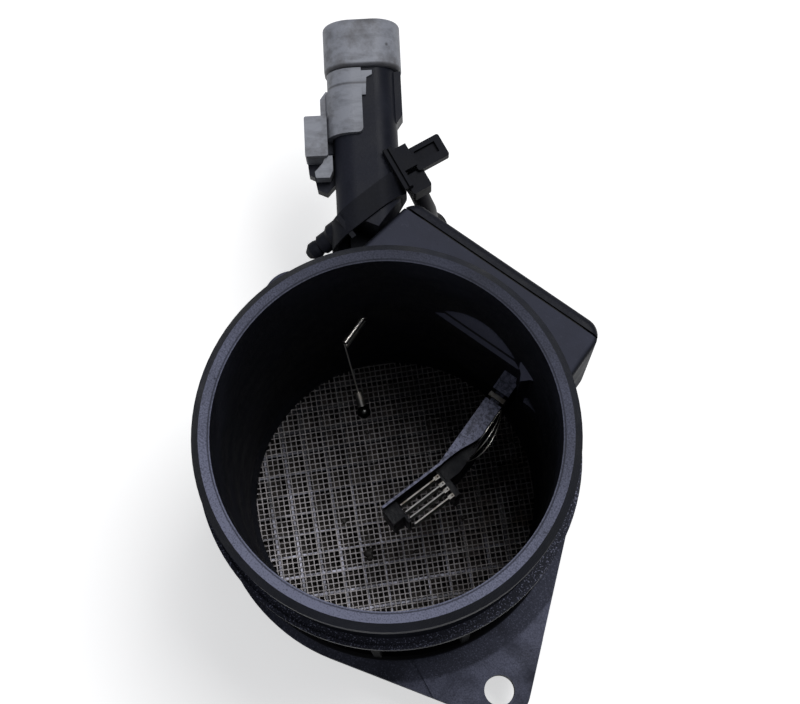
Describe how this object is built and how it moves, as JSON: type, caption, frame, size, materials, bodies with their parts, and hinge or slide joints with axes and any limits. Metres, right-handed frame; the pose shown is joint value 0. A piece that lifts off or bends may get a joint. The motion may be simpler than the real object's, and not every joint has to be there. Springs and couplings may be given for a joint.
{
  "type": "mass airflow sensor",
  "caption": "Round black duct with a flanged middle, a side electronics box, a sensor arm across the bore and a strapped side connector.",
  "frame": {"origin": "centre of the flange's seating plane, on the duct's axis", "axes": "+Z along the duct towards the outlet, +Y from the duct towards the electronics box"},
  "size_m": [0.1346, 0.1347, 0.12],
  "materials": {
    "housing_plastic": "glass-filled black moulding, satin grain",
    "glue": "dull set glue",
    "ceramic_board": "fired substrate",
    "black_plastic": "fine matt moulding",
    "capacitor_tan": "dull",
    "tinned_metal": "tinned, soft sheen",
    "arm_plastic": "satin moulding",
    "film_ceramic": "thin glazed plate",
    "bead_glass": "dark glassy bead",
    "screen_wire": "dusty wire",
    "grid_plastic": "dusty black moulding",
    "spring_steel": "bright spring wire",
    "seal_rubber": "matt rubber",
    "grey_plastic": "matt grey moulding",
    "cable_rubber": "matt sleeve",
    "strap_plastic": "smooth satin moulding"
  },
  "bodies": {
    "root": {"housing": "housing_plastic", "box_lid": "housing_plastic", "lid_adhesive": "glue", "circuit_board": "ceramic_board", "board_chip": "black_plastic", "board_capacitors": "capacitor_tan", "board_pads": "tinned_metal", "sensor_arm": "arm_plastic", "arm_band": "tinned_metal", "film_plates": "film_ceramic", "guard_plates": "tinned_metal", "plate_clips": "tinned_metal", "film_leads": "tinned_metal", "thermistor_pins": "tinned_metal", "thermistor_leads": "tinned_metal", "thermistor_sleeve": "tinned_metal", "thermistor_bead": "bead_glass", "wire_screen": "screen_wire", "straightener_grid": "grid_plastic", "screen_ring": "spring_steel", "inlet_seal": "seal_rubber", "connector_body": "black_plastic", "connector_collar": "grey_plastic", "connector_latch": "grey_plastic", "contact_blades": "tinned_metal", "mouth_seal": "seal_rubber", "cable_sleeve": "cable_rubber", "cable_grommet": "seal_rubber", "connector_strap": "strap_plastic"}
  },
  "joints": []
}
